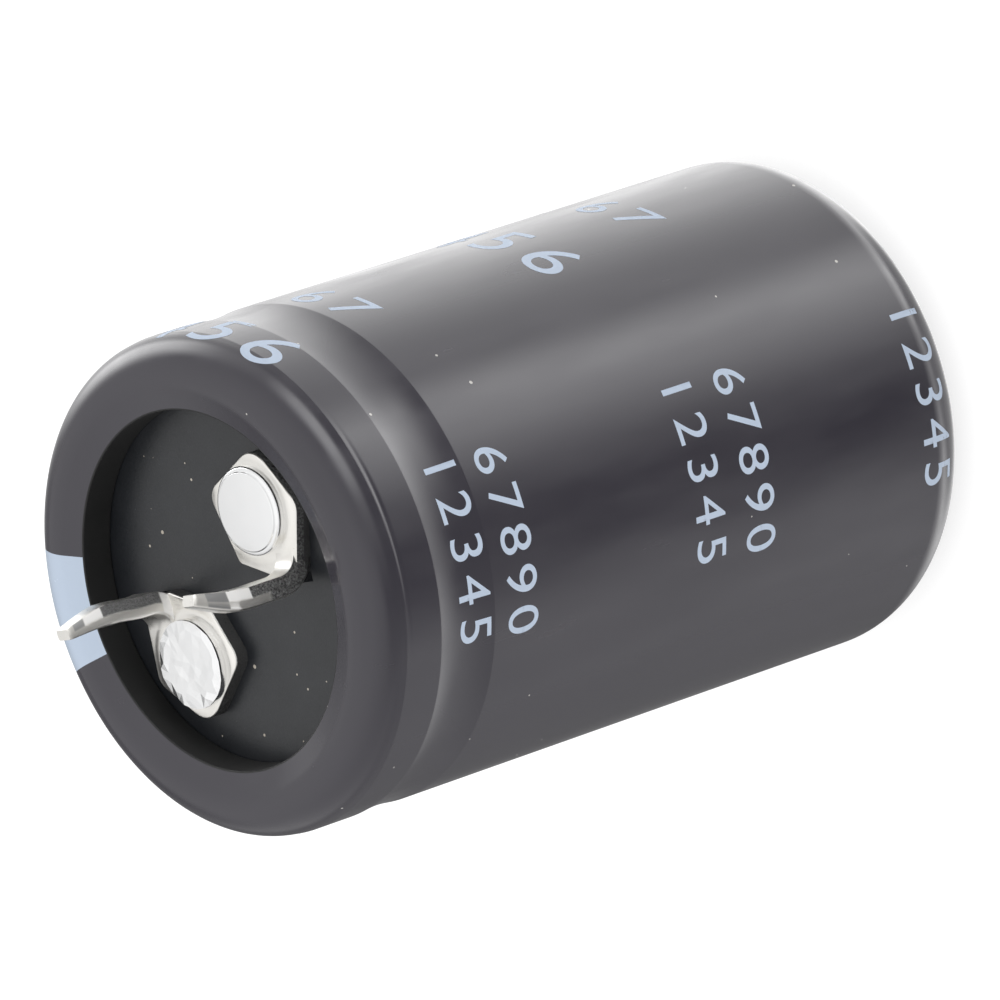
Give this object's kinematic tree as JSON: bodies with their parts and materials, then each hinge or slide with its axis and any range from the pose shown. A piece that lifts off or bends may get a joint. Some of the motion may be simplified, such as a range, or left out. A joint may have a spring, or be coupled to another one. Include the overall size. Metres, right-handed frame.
{
  "type": "aluminium electrolytic capacitor",
  "caption": "Snap-in aluminium electrolytic capacitor: sleeved cylindrical can with a striped negative side and kinked blade terminals riveted to a rubber-faced deck.",
  "frame": {"origin": "centre of the closed end, on the surface that the capacitor stands on", "axes": "+Z along the can from the closed end to the terminals, +X through the middle of the stripe on the negative side"},
  "size_m": [0.0254, 0.0254, 0.0461],
  "materials": {
    "sleeve_pvc": "satin charcoal heat-shrink film with a pale blue-grey stripe and print",
    "can_aluminium": "drawn aluminium, dull",
    "deck_rubber": "matt black rubber",
    "deck_board": "brown laminate board",
    "tinned_terminal": "bright tin plate, stamped",
    "rivet_aluminium": "pressed and hammered aluminium",
    "tab_aluminium": "plain aluminium strip",
    "winding_paper": "electrolyte-soaked paper and foil roll",
    "tape": "brown winding tape"
  },
  "bodies": {
    "root": {"sleeve": "sleeve_pvc", "can": "can_aluminium", "seal_rubber": "deck_rubber", "seal_board": "deck_board", "terminal_negative": "tinned_terminal", "terminal_positive": "tinned_terminal", "rivet_negative": "rivet_aluminium", "rivet_positive": "rivet_aluminium", "tab_negative": "tab_aluminium", "tab_positive": "tab_aluminium", "washer_negative": "tab_aluminium", "washer_positive": "tab_aluminium", "winding": "winding_paper", "winding_tape": "tape"}
  },
  "joints": []
}
